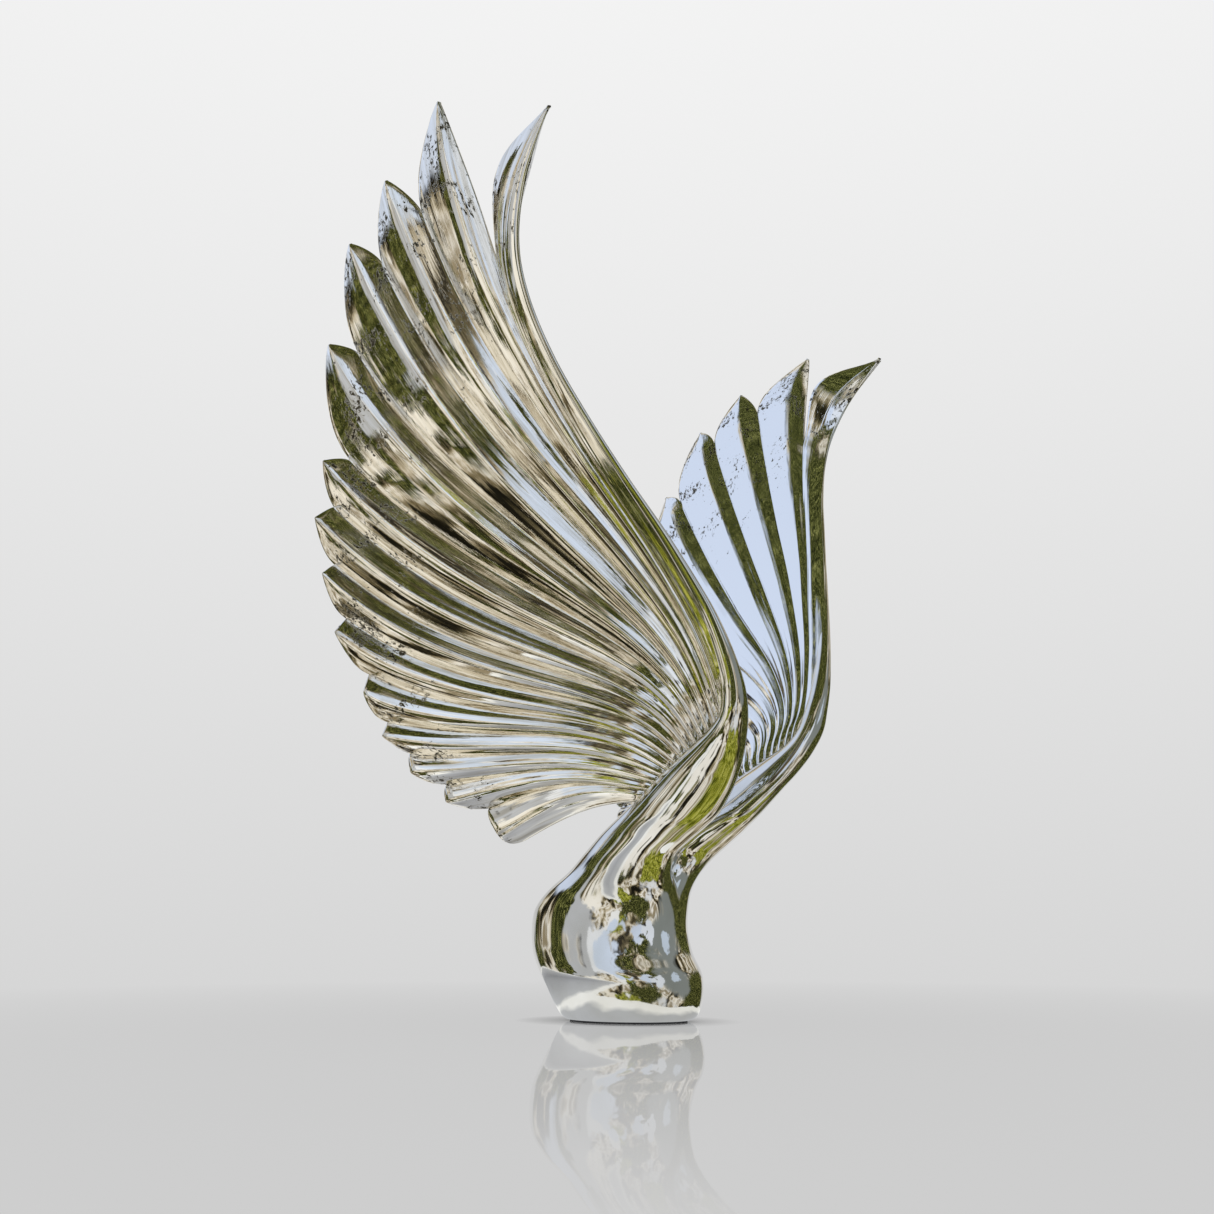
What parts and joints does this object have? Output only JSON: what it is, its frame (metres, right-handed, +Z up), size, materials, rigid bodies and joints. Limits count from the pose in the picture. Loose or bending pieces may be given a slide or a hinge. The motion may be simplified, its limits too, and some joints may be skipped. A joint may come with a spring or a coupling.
{
  "type": "hood ornament",
  "caption": "Winged car hood ornament: a hollow bell foot and leaning neck fork into two arms carrying raised fans of feather blades.",
  "frame": {"origin": "middle of the underside of the mounting pad, where the ornament stands on the hood", "axes": "+X the way the ornament faces, +Y its left wing, +Z up from the hood"},
  "size_m": [0.1065, 0.1956, 0.2298],
  "materials": {
    "casting": "polished bright plating over a zinc casting",
    "feather": "polished bright plating with fine pitting near the tips",
    "steel": "zinc plated steel",
    "pad": "matt black rubber"
  },
  "bodies": {
    "root": {"mounting_pad": "pad", "base_plate": "steel", "base_plate_screws": "steel", "stem_casting": "casting", "left_arm": "casting", "right_arm": "casting", "left_arm_stud": "steel", "right_arm_stud": "steel", "left_feather_01": "feather", "left_feather_02": "feather", "left_feather_03": "feather", "left_feather_04": "feather", "left_feather_05": "feather", "left_feather_06": "feather", "left_feather_07": "feather", "left_feather_08": "feather", "left_feather_09": "feather", "left_feather_10": "feather", "left_feather_11": "feather", "left_feather_12": "feather", "left_feather_13": "feather", "left_feather_14": "feather", "right_feather_01": "feather", "right_feather_02": "feather", "right_feather_03": "feather", "right_feather_04": "feather", "right_feather_05": "feather", "right_feather_06": "feather", "right_feather_07": "feather", "right_feather_08": "feather", "right_feather_09": "feather", "right_feather_10": "feather", "right_feather_11": "feather", "right_feather_12": "feather", "right_feather_13": "feather", "right_feather_14": "feather"}
  },
  "joints": []
}
